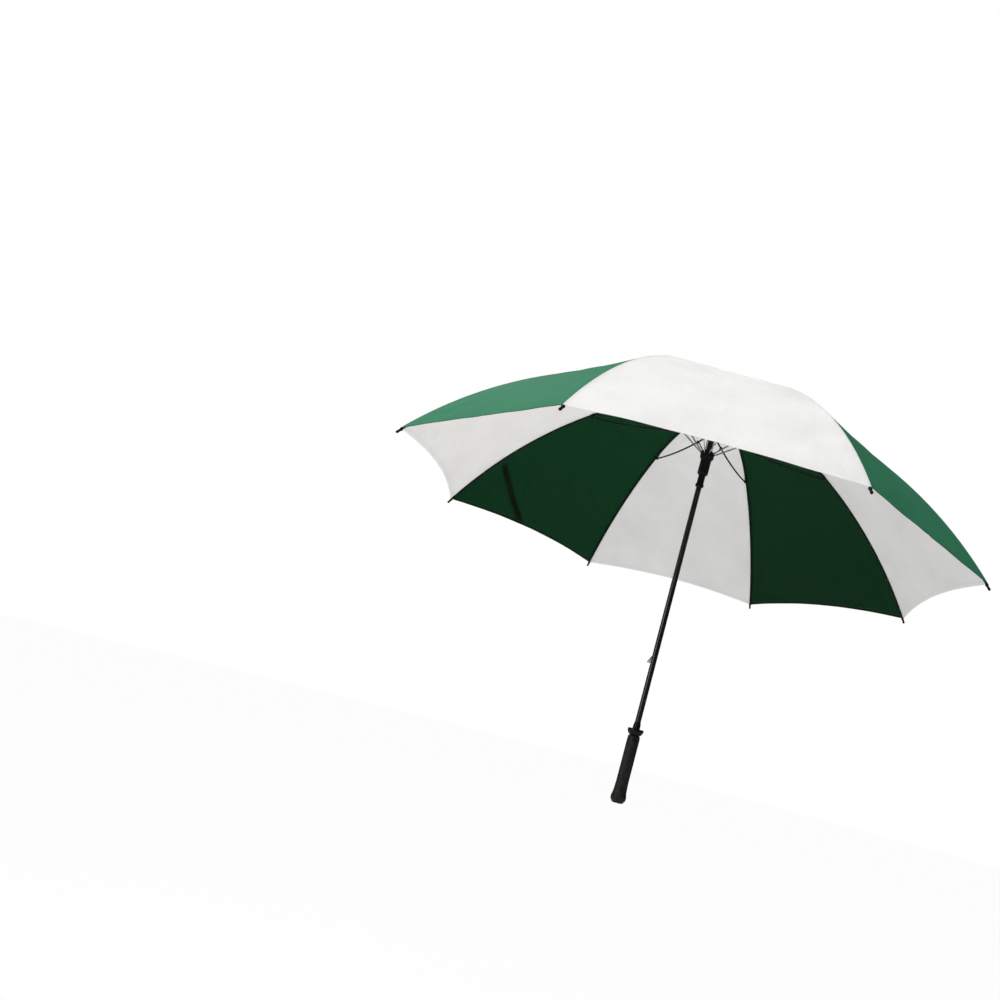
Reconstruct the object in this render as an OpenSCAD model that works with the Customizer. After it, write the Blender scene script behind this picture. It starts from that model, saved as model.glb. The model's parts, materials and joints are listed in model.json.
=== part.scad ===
// Eight-rib automatic golf umbrella, shown open.
// The shaft lies on the Z axis. The origin is the centre of the handle's bottom end.
// Sections of the frame are drawn in a radial plane, where [x, y] is [radius, height].

/* [Canopy] */
// Radius of the circle through the rib tips
tip_r = 654; // [640:1:662]
// Height of the rib tips above the end of the handle
tip_z = 582; // [575:1:590]
// Length of rib that stands past the corner of the fabric
tip_length = 12; // [10:1:16]
// How far the middle of each hem curves in from its corners
hem_scallop = 22; // [16:1:30]
// How far the fabric between two ribs is pulled in at the hem
fabric_sag = 8; // [2:1:12]
// Thickness of a fabric panel
fabric_t = 0.8; // [0.6:0.1:1.2]

/* [Ribs] */
// Radius of the circle of rib pivots in the top notch
notch_r = 10; // [9.5:0.1:10.5]
// Height of the rib pivots in the top notch
notch_z = 908; // [904:1:912]
// Radius at which a stretcher meets its rib
joint_r = 325; // [318:1:332]
// Height at which a stretcher meets its rib
joint_z = 863; // [858:1:866]
// Slope of the rib where the stretcher meets it, in degrees
joint_slope = 27; // [25:1:28]
// Radius of the rib rod
rib_rod = 1.8; // [1.6:0.1:1.9]

/* [Stretchers and struts] */
// Radius of the circle of stretcher pivots in the upper crown
crown_r = 12.5; // [12:0.1:13]
// Height of the stretcher pivots in the upper crown
crown_z = 850; // [846:1:852]
// Downward bow of a stretcher between its pivots
stretcher_bow = 8; // [4:1:10]
// Radius of the stretcher rod
stretcher_rod = 2; // [1.8:0.1:2.1]
// Length along the stretcher from the crown to the strut pin
knuckle_at = 62.6; // [56:0.2:68]
// Radius of the circle of strut pivots in the runner
runner_r = 13.8; // [13.6:0.1:13.9]
// Height of the strut pivots in the runner
runner_z = 797; // [793:1:800]

/* [Shaft and handle] */
// Outer radius of the shaft tube
shaft_r = 6.25; // [6:0.05:6.4]
// Wall of the shaft tube
shaft_wall = 1.25; // [1:0.05:1.4]
// Height of the top of the foam grip
grip_z = 141; // [136:1:144]
// Largest radius of the flared end of the grip
flare_r = 16.4; // [15.5:0.1:17.5]
// Radius of the grip above its flare
grip_r = 13.3; // [12.6:0.1:13.5]
// Height of the top of the tip cup
cup_z = 155; // [154:1:157]
// Height of the top of the ferrule
ferrule_z = 975; // [965:1:990]

/* [Catch] */
// Height of the flat lower face of the catch
catch_z = 297; // [296:1:300]
// How far the catch reaches from the shaft's axis
catch_reach = 13.8; // [12:0.1:14]

/* [Hidden] */
RIBS = 8;
STEP = 360 / RIBS;
FIRST_RIB = STEP / 2;

BLACK = [0.06, 0.06, 0.06];
FOAM = [0.15, 0.145, 0.13];
STEEL = [0.62, 0.63, 0.64];
GREEN = [0.3, 0.56, 0.42];
WHITE = [0.93, 0.93, 0.92];

ROUND = 48;          // facets of a small round feature
LONG_ARC = 720;      // facets of a full turn of a long, shallow arc
clear = 0.1;         // running clearance of pins and sliding bores
wire_rod = 0.6;      // radius of the ring wires
eye_t = 2.2;         // thickness of the flat eyes at the ends of rods
eye_r = 2.7;         // radius of the flat eyes
pin_rod = 0.8;       // radius of the hinge pins
tip_rod = 2.4;       // radius of the moulded tip of a rib
clip_drop = 6.5;     // distance of the stretcher pin below the rib
clip_gap = 2.8;      // gap between the cheeks of the rib clip
cheek_t = 1.2;       // thickness of each cheek
strut_off = 3;       // sideways distance of a strut from its stretcher
strut_t = 1.2;       // thickness of a strut
strut_h = 3;         // depth of a strut
cavity_r = 10.1;     // radius of the spring's pocket in the runner
cavity_z = 765;      // height of the floor of that pocket
spring_rod = 0.9;    // radius of the spring's wire
spring_coil = 8.75;  // radius of the spring's coil
spring_turns = 15;
crown_low = 6;       // depth of the crown below its pivots, and its height above them
crown_neck = 14;     // height of the top of the crown above its pivots
catch_pivot = 360;   // height of the catch's pivot inside the shaft
catch_x = -2.4;      // distance of that pivot from the shaft's axis, along X
catch_w = 3.6;       // width of the catch
fabric_off = rib_rod + 1.3;  // height of the fabric above the middle of the rib
fabric_s = 6.6;      // length along the rib at which the fabric starts
PANEL_ROWS = 15;
PANEL_COLUMNS = 6;
strap_panel = 3;
strap_foot = [0.58, 1];      // the strap's two ends, as fractions across and along its panel
strap_end = [0.96, 0.795];
strap_w = 16;

// Points of one radial plane
notch_p = [notch_r, notch_z];
joint_p = [joint_r, joint_z];
tip_p = [tip_r, tip_z];
crown_p = [crown_r, crown_z];
pin_p = joint_p - clip_drop * [sin(joint_slope), cos(joint_slope)];
runner_p = [sqrt(runner_r * runner_r - strut_off * strut_off), runner_z];

// A rib is two tangent arcs. A slope is in degrees below the horizontal.
function chord_slope(p, q) = atan2(p.y - q.y, q.x - p.x);
root_slope = 2 * chord_slope(notch_p, joint_p) - joint_slope;
tip_slope = 2 * chord_slope(joint_p, tip_p) - joint_slope;
inner_arc = norm(joint_p - notch_p) / (2 * sin((joint_slope - root_slope) / 2));
outer_arc = norm(tip_p - joint_p) / (2 * sin((tip_slope - joint_slope) / 2));
inner_centre = joint_p - inner_arc * [sin(joint_slope), cos(joint_slope)];
outer_centre = joint_p - outer_arc * [sin(joint_slope), cos(joint_slope)];
function turn(length, radius) = length / radius * 180 / PI;
inner_length = inner_arc * (joint_slope - root_slope) * PI / 180;
outer_length = outer_arc * (tip_slope - joint_slope) * PI / 180;
rib_length = inner_length + outer_length;

// Slope of the rib at a length s from the notch, and the point a distance off above it there
function rib_slope(s) = s < inner_length
    ? root_slope + turn(s, inner_arc)
    : joint_slope + turn(s - inner_length, outer_arc);
function rib_point(s, off) = let (a = rib_slope(s), up = [sin(a), cos(a)])
    s < inner_length ? inner_centre + (inner_arc + off) * up : outer_centre + (outer_arc + off) * up;

// A stretcher is one arc that bows down between the crown and the rib's clip.
stretcher_chord = norm(pin_p - crown_p);
stretcher_arc = (pow(stretcher_chord / 2, 2) + pow(stretcher_bow, 2)) / (2 * stretcher_bow);
stretcher_half = asin(stretcher_chord / 2 / stretcher_arc);
stretcher_rise = -chord_slope(crown_p, pin_p);
stretcher_centre = crown_p + stretcher_arc
    * [-sin(stretcher_rise - stretcher_half), cos(stretcher_rise - stretcher_half)];
function stretcher_point(s) = let (a = stretcher_rise - stretcher_half + turn(s, stretcher_arc))
    stretcher_centre + stretcher_arc * [sin(a), -cos(a)];
knuckle_p = stretcher_point(knuckle_at);

module around(k) {
    rotate([0, 0, FIRST_RIB + STEP * (k - 1)]) children();
}

module in_plane() {
    rotate([90, 0, 0]) children();
}

module slab(t) {
    translate([0, 0, -t / 2]) linear_extrude(t) children();
}

module ring(radius, rod) {
    rotate_extrude($fn = 2 * ROUND) translate([radius, 0]) circle(rod, $fn = 24);
}

module disc(p, radius, t) {
    translate([p.x, p.y, -t / 2]) cylinder(h = t, r = radius, $fn = ROUND);
}

// A flat bar from p towards q, of a given length and depth
module bar(p, q, length, depth, t) {
    translate([p.x, p.y, 0]) rotate([0, 0, atan2(q.y - p.y, q.x - p.x)])
        translate([0, -depth / 2, -t / 2]) cube([length, depth, t]);
}

// A round rod along an arc between two slopes
module arc_rod(centre, radius, slope_a, slope_b, rod) {
    translate([centre.x, centre.y, 0]) rotate([0, 0, 90 - slope_b])
        rotate_extrude(angle = slope_b - slope_a, $fn = LONG_ARC) translate([radius, 0]) circle(rod, $fn = 24);
}

// ---- Shaft, ferrule and handle ----

module shaft_tube() {
    foot = 8;
    color(BLACK) difference() {
        translate([0, 0, foot]) cylinder(h = notch_z + 20 - foot, r = shaft_r, $fn = ROUND);
        translate([0, 0, foot - 1])
            cylinder(h = notch_z + 22 - foot, r = shaft_r - shaft_wall, $fn = ROUND);
        // Slot of the catch
        translate([-2 * shaft_r, -(catch_w / 2 + 0.3), catch_z - 3]) cube([2 * shaft_r, catch_w + 0.6, 23]);
        // Holes of the catch's pin
        translate([catch_x, 0, catch_pivot]) rotate([90, 0, 0])
            cylinder(h = 3 * shaft_r, r = 1.02, center = true, $fn = 24);
    }
}

module ferrule() {
    base = notch_z + 10;
    color(BLACK) difference() {
        rotate_extrude($fn = ROUND) polygon([
            [0, base], [9.2, base], [9.2, base + 3], [8.2, base + 6], [7.8, base + 16],
            [5.4, ferrule_z - 8], [5.8, ferrule_z - 6], [5.8, ferrule_z - 2.5],
            [4.2, ferrule_z], [0, ferrule_z]
        ]);
        translate([0, 0, base - 1]) cylinder(h = 11.2, r = shaft_r + 0.02, $fn = ROUND);
    }
}

module top_cap() {
    color(WHITE) rotate_extrude($fn = ROUND) polygon([
        [shaft_r + 0.1, notch_z + 7.2], [18, notch_z + 6.8], [19, notch_z + 7.3],
        [18, notch_z + 8], [12, notch_z + 9.2], [shaft_r + 0.1, notch_z + 9.6]
    ]);
}

module grip() {
    color(FOAM) difference() {
        rotate_extrude($fn = 64) polygon([
            [0, 0], [flare_r - 5.2, 0], [flare_r - 3.2, 1.8], [flare_r - 1.2, 4.6], [flare_r - 0.3, 6.6],
            [flare_r, 8], [flare_r, 13], [flare_r - 0.9, 16], [flare_r - 1.8, 22], [flare_r - 2.6, 31],
            [grip_r, 46], [grip_r, grip_z - 8], [grip_r - 0.4, grip_z - 3.6],
            [grip_r - 1.4, grip_z - 1.2], [grip_r - 3, grip_z], [0, grip_z]
        ]);
        translate([0, 0, -1]) cylinder(h = 4, r = 10, $fn = ROUND);
        translate([0, 0, 2]) cylinder(h = grip_z, r = 8, $fn = ROUND);
    }
}

module grip_core() {
    color(BLACK) difference() {
        translate([0, 0, 3.02]) cylinder(h = grip_z - 3.04, r = 7.98, $fn = ROUND);
        translate([0, 0, 1]) cylinder(h = grip_z, r = shaft_r + 0.02, $fn = ROUND);
    }
}

module end_cap() {
    color(BLACK) {
        cylinder(h = 3, r = 9.95, $fn = ROUND);
        translate([0, 0, 2.9]) cylinder(h = 12, r = shaft_r - shaft_wall - 0.02, $fn = ROUND);
    }
}

module tip_cup() {
    inner = 14.6;
    outer = 17.2;
    floor_z = cup_z - 5.6;
    top = cup_z + 15;
    color(BLACK) rotate_extrude($fn = 64) polygon([
        [shaft_r + 0.02, grip_z], [grip_r - 2.5, grip_z], [grip_r - 1.2, grip_z + 1], [outer - 3, grip_z + 3],
        [outer - 1.1, grip_z + 6], [outer, cup_z - 5], [outer, cup_z - 3], [outer - 0.7, cup_z - 0.8],
        [outer - 1.6, cup_z], [inner + 0.5, cup_z], [inner, cup_z - 0.8], [inner - 0.2, floor_z + 1.8],
        [inner - 1.8, floor_z], [shaft_r + 1.8, floor_z], [shaft_r + 1.6, top - 8], [shaft_r + 1.1, top - 4],
        [shaft_r + 0.3, top], [shaft_r + 0.02, top]
    ]);
}

// ---- Top notch ----

module top_notch() {
    low = notch_z - 8;
    high = notch_z + 3;
    color(BLACK) difference() {
        rotate_extrude($fn = 64) polygon([
            [shaft_r + 0.02, low], [12.5, low], [13.5, low + 1], [13.5, high],
            [14.5, high + 0.3], [14.5, high + 2.4], [13.5, high + 3], [shaft_r + 0.02, high + 3]
        ]);
        for (k = [1 : RIBS]) around(k)
            translate([7.3, -(eye_t / 2 + 0.2), low - 1]) cube([12, eye_t + 0.4, high - low + 1]);
        translate([0, 0, notch_z]) ring(notch_r, wire_rod + 0.02);
    }
}

module notch_wire() {
    color(STEEL) translate([0, 0, notch_z]) ring(notch_r, wire_rod);
}

// ---- Catch ----

module catch() {
    leaf_x = -4;
    leaf_t = 0.8;
    eye = [catch_x, catch_pivot];
    color(STEEL) in_plane() difference() {
        union() {
            slab(catch_w) polygon([
                [catch_x, catch_pivot], [leaf_x, catch_pivot - 1], [leaf_x, catch_z + 19],
                [-shaft_r - 0.4, catch_z + 17], [-catch_reach, catch_z + 4], [-catch_reach, catch_z + 1],
                [-catch_reach + 1, catch_z], [leaf_x + leaf_t, catch_z], [leaf_x + leaf_t, catch_pivot - 6]
            ]);
            disc(eye, 2.1, catch_w);
        }
        disc(eye, 1 + clear, 2 * catch_w);
    }
}

module catch_pin() {
    color(STEEL) translate([catch_x, 0, catch_pivot]) rotate([90, 0, 0])
        cylinder(h = 10.3, r = 1, center = true, $fn = 24);
}

// ---- Runner, crown and spring ----

module runner() {
    low = runner_z - 82;
    high = runner_z + 4;
    bore = shaft_r + clear;
    color(BLACK) difference() {
        rotate_extrude($fn = 64) polygon([
            [bore, low], [8.8, low], [9.7, low + 0.8], [9.7, low + 6], [8.1, low + 7.2], [8.1, low + 28],
            [12.4, low + 32.5], [12.4, high - 19], [16.2, high - 13], [16.2, high - 0.8], [15.4, high],
            [cavity_r, high], [cavity_r, cavity_z], [bore, cavity_z]
        ]);
        for (k = [1 : RIBS]) around(k)
            translate([cavity_r + 1, -strut_off - strut_t / 2 - 0.25, runner_z - 4])
                cube([8, strut_t + 0.5, 12]);
        translate([0, 0, runner_z]) ring(runner_r, wire_rod + 0.02);
        // Slot that lets the runner pass the catch
        translate([-20, -(catch_w / 2 + 0.4), low - 1]) cube([20, catch_w + 0.8, high - low + 2]);
    }
}

module runner_wire() {
    color(STEEL) difference() {
        translate([0, 0, runner_z]) ring(runner_r, wire_rod);
        translate([-20, -(catch_w / 2 + 0.4), runner_z - 2]) cube([20, catch_w + 0.8, 4]);
    }
}

module stretcher_crown() {
    low = crown_z - crown_low;
    bore = shaft_r + clear;
    color(BLACK) difference() {
        rotate_extrude($fn = 64) polygon([
            [bore, low], [13.6, low], [14.6, low + 1], [14.6, crown_z + crown_low - 1],
            [14, crown_z + crown_low], [9, crown_z + crown_low], [9, crown_z + crown_neck - 1],
            [8.2, crown_z + crown_neck], [bore, crown_z + crown_neck]
        ]);
        for (k = [1 : RIBS]) around(k) {
            translate([9.6, -(eye_t / 2 + 0.2), low - 1]) cube([8, eye_t + 0.4, 2 * crown_low + 2]);
            // Slot that the folded strut lies in
            translate([12.5, -strut_off - strut_t / 2 - 0.25, low - 1])
                cube([8, strut_t + 0.5, 2 * crown_low + 2]);
        }
        translate([0, 0, crown_z]) ring(crown_r, wire_rod + 0.02);
    }
}

module crown_wire() {
    color(STEEL) translate([0, 0, crown_z]) ring(crown_r, wire_rod);
}

// Rings of a helix of round wire, joined into one closed skin
module opening_spring() {
    low = cavity_z + spring_rod + 0.3;
    high = crown_z - crown_low - spring_rod - 0.3;
    per_turn = 20;
    sides = 6;
    count = spring_turns * per_turn;
    points = [
        for (i = [0 : count], j = [0 : sides - 1])
            let (a = 360 * i / per_turn, b = 360 * j / sides, r = spring_coil + spring_rod * cos(b))
            [r * cos(a), r * sin(a), low + (high - low) * i / count + spring_rod * sin(b)]
    ];
    walls = [
        for (i = [0 : count - 1], j = [0 : sides - 1])
            [i * sides + j, i * sides + (j + 1) % sides, (i + 1) * sides + (j + 1) % sides, (i + 1) * sides + j]
    ];
    ends = [[for (j = [sides - 1 : -1 : 0]) j], [for (j = [0 : sides - 1]) count * sides + j]];
    color(STEEL) polyhedron(points, concat(walls, ends), convexity = 10);
}

// ---- Ribs ----

// Eye at the notch, rod, and the clip whose two cheeks hold the outer rib and the stretcher
module rib_inner(k) {
    start = rib_point(9, 0);
    clip_back = rib_point(inner_length - 9, 0);
    color(BLACK) around(k) in_plane() difference() {
        union() {
            disc(notch_p, eye_r - 0.1, eye_t - 0.2);
            bar(notch_p, start, 9.6, 2.6, eye_t - 0.2);
            arc_rod(inner_centre, inner_arc, rib_slope(8.6), rib_slope(inner_length - 6), rib_rod);
            bar(clip_back, joint_p, 9, 4, clip_gap + 2 * cheek_t);
            disc(joint_p, 2.2, clip_gap + 2 * cheek_t);
            bar(joint_p, pin_p, clip_drop, 4, clip_gap + 2 * cheek_t);
            disc(pin_p, 2.6, clip_gap + 2 * cheek_t);
        }
        disc(notch_p, wire_rod + 0.15, 10);
        // Gap between the cheeks
        disc(joint_p, 4.6, clip_gap);
        bar(joint_p, pin_p, clip_drop, 14, clip_gap);
        disc(pin_p, 6.9, clip_gap);
    }
    color(STEEL) around(k) in_plane() for (p = [joint_p, pin_p])
        disc(p, pin_rod, clip_gap + 2 * cheek_t + 0.6);
}

module rib_outer(k) {
    start = rib_point(inner_length + 7, 0);
    end = rib_point(rib_length - tip_rod - 0.2, 0);
    end_slope = rib_slope(rib_length - tip_rod - 0.2);
    past_hem = rib_slope(rib_length - tip_length + 1.5);
    color(BLACK) around(k) in_plane() difference() {
        union() {
            disc(joint_p, 2, eye_t);
            bar(joint_p, start, 7.4, 2.6, eye_t);
            arc_rod(outer_centre, outer_arc, rib_slope(inner_length + 6.6), end_slope, rib_rod);
            arc_rod(outer_centre, outer_arc, past_hem, end_slope, tip_rod);
            translate([end.x, end.y, 0]) sphere(tip_rod + 0.2, $fn = 32);
        }
        disc(joint_p, pin_rod + clear, 10);
    }
}

// ---- Stretchers and struts ----

module stretcher(k) {
    from = stretcher_rise - stretcher_half;
    length = stretcher_arc * 2 * stretcher_half * PI / 180;
    root = turn(9, stretcher_arc);
    color(BLACK) around(k) in_plane() difference() {
        union() {
            disc(crown_p, eye_r, eye_t);
            bar(crown_p, stretcher_point(10), 10, 3, eye_t);
            translate([stretcher_centre.x, stretcher_centre.y, 0]) rotate([0, 0, from + root - 90])
                rotate_extrude(angle = 2 * stretcher_half - 2 * root, $fn = 2 * LONG_ARC)
                translate([stretcher_arc, 0]) circle(stretcher_rod, $fn = 24);
            bar(pin_p, stretcher_point(length - 10), 10, 3, eye_t);
            disc(pin_p, eye_r, eye_t);
            // Knuckle that carries the strut's pin
            disc(knuckle_p, 3.6, 4.4);
        }
        disc(crown_p, wire_rod + 0.15, 10);
        disc(pin_p, pin_rod + clear, 10);
    }
    color(STEEL) around(k) in_plane() translate([knuckle_p.x, knuckle_p.y, 2.2]) {
        cylinder(h = 1.8, r = pin_rod, $fn = 24);
        translate([0, 0, 1.6]) cylinder(h = 0.8, r = 1.6, $fn = 24);
    }
}

module strut(k) {
    length = norm(knuckle_p - runner_p);
    color(STEEL) around(k) in_plane() translate([0, 0, strut_off]) difference() {
        union() {
            disc(runner_p, 2.2, strut_t);
            bar(runner_p, knuckle_p, length, strut_h, strut_t);
            disc(knuckle_p, 2.2, strut_t);
        }
        disc(runner_p, wire_rod + 0.25, 10);
        disc(knuckle_p, pin_rod + clear, 10);
    }
}

// ---- Canopy ----

function hump(u) = 4 * u * (1 - u);
function hem_s(u) = rib_length - tip_length - hem_scallop * hump(u);

// A point of the panel whose middle is at azimuth 0: v runs from the notch to the hem, u from rib to rib
function panel_point(u, v, off) = let (
        s = fabric_s + (hem_s(u) - fabric_s) * v,
        p = rib_point(s, fabric_off + off - fabric_sag * v * v * hump(u)),
        half = p.x * sin(STEP / 2) - 0.4,
        outward = cos(STEP / 2)
    )
    [p.x * outward, half * (2 * u - 1), p.y];

// A closed skin between two grids of points, rows by columns
module skin(top, bottom, rows, columns) {
    n = (rows + 1) * (columns + 1);
    function at(i, j) = i * (columns + 1) + j;
    rim = concat(
        [for (j = [0 : columns - 1]) at(0, j)], [for (i = [0 : rows - 1]) at(i, columns)],
        [for (j = [columns : -1 : 1]) at(rows, j)], [for (i = [rows : -1 : 1]) at(i, 0)]
    );
    faces = concat(
        [for (i = [0 : rows - 1], j = [0 : columns - 1]) [at(i, j), at(i, j + 1), at(i + 1, j)]],
        [for (i = [0 : rows - 1], j = [0 : columns - 1]) [at(i, j + 1), at(i + 1, j + 1), at(i + 1, j)]],
        [for (i = [0 : rows - 1], j = [0 : columns - 1]) [n + at(i, j), n + at(i + 1, j), n + at(i, j + 1)]],
        [for (i = [0 : rows - 1], j = [0 : columns - 1])
            [n + at(i, j + 1), n + at(i + 1, j), n + at(i + 1, j + 1)]],
        [for (e = [0 : len(rim) - 1]) [rim[e], n + rim[e], rim[(e + 1) % len(rim)]]],
        [for (e = [0 : len(rim) - 1])
            [rim[(e + 1) % len(rim)], n + rim[e], n + rim[(e + 1) % len(rim)]]]
    );
    polyhedron(concat(top, bottom), faces, convexity = 4);
}

module canopy_panel(k) {
    function grid(off) = [
        for (i = [0 : PANEL_ROWS], j = [0 : PANEL_COLUMNS])
            panel_point(j / PANEL_COLUMNS, i / PANEL_ROWS, off)
    ];
    color(k % 2 == 0 ? WHITE : GREEN) rotate([0, 0, STEP * k])
        skin(grid(fabric_t), grid(0), PANEL_ROWS, PANEL_COLUMNS);
}

// A tie strap sewn to the hem of one panel and laid across it towards the next rib
module tie_strap() {
    rows = 12;
    function mid(t, off) = let (at = strap_foot + (strap_end - strap_foot) * t)
        panel_point(at[0], at[1] * 0.995, off);
    across = cross(mid(1, 0) - mid(0, 0), [1, 0, 1]);
    side = across / norm(across) * strap_w / 2;
    function grid(off) = [for (i = [0 : rows], j = [-1 : 2 : 1]) mid(i / rows, off) + j * side];
    color(GREEN) rotate([0, 0, STEP * strap_panel]) skin(grid(3), grid(2), rows, 1);
}

shaft_tube();
ferrule();
top_notch();
notch_wire();
top_cap();
grip();
grip_core();
end_cap();
tip_cup();
catch();
catch_pin();
runner();
runner_wire();
stretcher_crown();
crown_wire();
opening_spring();
tie_strap();
for (k = [1 : RIBS]) {
    rib_inner(k);
    rib_outer(k);
    stretcher(k);
    strut(k);
    canopy_panel(k);
}
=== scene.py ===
"""Looks of an eight-rib golf umbrella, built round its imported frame.

Lengths are metres and angles radians. +Z is up the shaft. In a radial plane a point is (radius, height).
Panel k hangs between ribs k and k + 1. Its half "a" goes with rib k and its half "b" with rib k + 1.
"""

import json
import math
import random

import bmesh
import bpy
from mathutils import Matrix, Vector

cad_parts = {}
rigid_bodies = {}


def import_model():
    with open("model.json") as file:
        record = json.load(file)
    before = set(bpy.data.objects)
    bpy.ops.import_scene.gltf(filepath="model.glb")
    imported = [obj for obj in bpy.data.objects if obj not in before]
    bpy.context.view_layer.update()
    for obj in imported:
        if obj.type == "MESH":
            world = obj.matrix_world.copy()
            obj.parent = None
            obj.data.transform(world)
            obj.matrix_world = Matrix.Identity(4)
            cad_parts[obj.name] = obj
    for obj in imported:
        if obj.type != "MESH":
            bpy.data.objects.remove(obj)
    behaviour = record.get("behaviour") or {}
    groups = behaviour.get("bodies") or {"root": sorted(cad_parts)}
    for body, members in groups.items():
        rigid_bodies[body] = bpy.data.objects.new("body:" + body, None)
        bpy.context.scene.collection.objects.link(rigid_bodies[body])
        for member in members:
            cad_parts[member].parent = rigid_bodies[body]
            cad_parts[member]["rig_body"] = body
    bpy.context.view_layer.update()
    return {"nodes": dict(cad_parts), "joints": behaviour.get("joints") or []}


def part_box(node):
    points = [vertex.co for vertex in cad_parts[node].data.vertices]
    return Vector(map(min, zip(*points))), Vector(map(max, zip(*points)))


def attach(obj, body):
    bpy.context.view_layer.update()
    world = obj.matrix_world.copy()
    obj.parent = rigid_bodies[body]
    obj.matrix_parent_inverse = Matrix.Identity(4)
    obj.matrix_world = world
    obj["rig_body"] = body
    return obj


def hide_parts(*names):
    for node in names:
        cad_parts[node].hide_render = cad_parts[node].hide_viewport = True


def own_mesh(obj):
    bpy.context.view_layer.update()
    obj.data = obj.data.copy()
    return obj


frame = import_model()

RIBS = 8
STEP = math.tau / RIBS
UP = Vector((0, 0, 1))

# ---- Measures of the frame ----

JOINTS = {joint["name"]: joint for joint in frame["joints"]}
WIRE = 0.0006           # radius of the ring wires
ROD = 0.0018            # radius of the rib rods
TUBE = 0.00627          # radius of the shaft tube, with a hair's clearance
TIP = (0.654, 0.582)    # where a rib's outer arc ends


def joint_place(name):
    x, y, z = JOINTS[name]["pos_m"]
    return math.hypot(x, y), z


def wire_place(node):
    low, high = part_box(node)
    return (high.x - low.x) / 2 - WIRE, (low.z + high.z) / 2


def fall(p, q):
    """Slope below the horizontal of the line from p to q."""
    return math.atan2(p[1] - q[1], q[0] - p[0])


NOTCH = wire_place("notch_wire")
JOINT = joint_place("rib_end_1_hinge")
CLIP = joint_place("rib_1_hinge")
JOINT_SLOPE = math.atan2(JOINT[0] - CLIP[0], JOINT[1] - CLIP[1])
ROOT_SLOPE = 2 * fall(NOTCH, JOINT) - JOINT_SLOPE
TIP_SLOPE = 2 * fall(JOINT, TIP) - JOINT_SLOPE
INNER_ARC = math.dist(NOTCH, JOINT) / (2 * math.sin((JOINT_SLOPE - ROOT_SLOPE) / 2))
OUTER_ARC = math.dist(JOINT, TIP) / (2 * math.sin((TIP_SLOPE - JOINT_SLOPE) / 2))
INNER_LENGTH = INNER_ARC * (JOINT_SLOPE - ROOT_SLOPE)
RIB_LENGTH = INNER_LENGTH + OUTER_ARC * (TIP_SLOPE - JOINT_SLOPE)


def rib_point(s, off):
    """The point at length s along a rib and off above its middle line."""
    if s < INNER_LENGTH:
        arc, slope = INNER_ARC, ROOT_SLOPE + s / INNER_ARC
    else:
        arc, slope = OUTER_ARC, JOINT_SLOPE + (s - INNER_LENGTH) / OUTER_ARC
    radius = JOINT[0] - arc * math.sin(JOINT_SLOPE) + (arc + off) * math.sin(slope)
    height = JOINT[1] - arc * math.cos(JOINT_SLOPE) + (arc + off) * math.cos(slope)
    return radius, height


def rib_azimuth(k):
    return STEP * (k - 0.5)


def outward(azimuth):
    return Vector((math.cos(azimuth), math.sin(azimuth), 0))


def sideways(azimuth):
    return Vector((-math.sin(azimuth), math.cos(azimuth), 0))


def in_plane(azimuth, point):
    return outward(azimuth) * point[0] + UP * point[1]


# ---- Materials ----

NOISE_LOW, NOISE_HIGH = 0.3, 0.7      # between these lies nearly all of a noise texture's output


class Paint:
    """A node material with one Principled shader, and short ways to add to it."""

    def __init__(self, name, colour, roughness, metallic=0.0):
        self.material = bpy.data.materials.new(name)
        self.material.use_nodes = True
        self.tree = self.material.node_tree
        self.shader = self.tree.nodes["Principled BSDF"]
        self.output = self.tree.nodes["Material Output"]
        self.set("Base Color", (*colour, 1))
        self.set("Roughness", roughness)
        self.set("Metallic", metallic)
        self.place = self.node("ShaderNodeTexCoord").outputs["Object"]

    def set(self, socket, value):
        self.shader.inputs[socket].default_value = value

    def node(self, kind, **values):
        made = self.tree.nodes.new(kind)
        for key, value in values.items():
            if key in made.inputs:
                made.inputs[key].default_value = value
            else:
                setattr(made, key, value)
        return made

    def link(self, source, target):
        self.tree.links.new(source, target)

    def stretched(self, source, scale):
        mapping = self.node("ShaderNodeMapping")
        mapping.inputs["Scale"].default_value = scale
        self.link(source, mapping.inputs["Vector"])
        return mapping.outputs["Vector"]

    def noise(self, source, scale, detail=3.0, rough=0.55):
        made = self.node("ShaderNodeTexNoise", Scale=scale, Detail=detail, Roughness=rough)
        self.link(source, made.inputs["Vector"])
        return made.outputs["Fac"]

    def ranged(self, source, low, high):
        made = self.node("ShaderNodeMapRange")
        limits = {"From Min": NOISE_LOW, "From Max": NOISE_HIGH, "To Min": low, "To Max": high}
        for socket, value in limits.items():
            made.inputs[socket].default_value = value
        self.link(source, made.inputs["Value"])
        return made.outputs["Result"]

    def ramp(self, source, dark, light):
        made = self.node("ShaderNodeValToRGB")
        first, last = made.color_ramp.elements
        first.position, first.color = NOISE_LOW, (*dark, 1)
        last.position, last.color = NOISE_HIGH, (*light, 1)
        self.link(source, made.inputs["Fac"])
        return made.outputs["Color"]

    def maths(self, operation, a, b):
        made = self.node("ShaderNodeMath", operation=operation)
        for socket, value in zip(made.inputs, (a, b)):
            if isinstance(value, (int, float)):
                socket.default_value = value
            else:
                self.link(value, socket)
        return made.outputs["Value"]

    def bump(self, height, strength, distance):
        made = self.node("ShaderNodeBump", Strength=strength, Distance=distance)
        self.link(height, made.inputs["Height"])
        before = self.shader.inputs["Normal"]
        if before.is_linked:
            self.link(before.links[0].from_socket, made.inputs["Normal"])
        self.link(made.outputs["Normal"], before)


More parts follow.
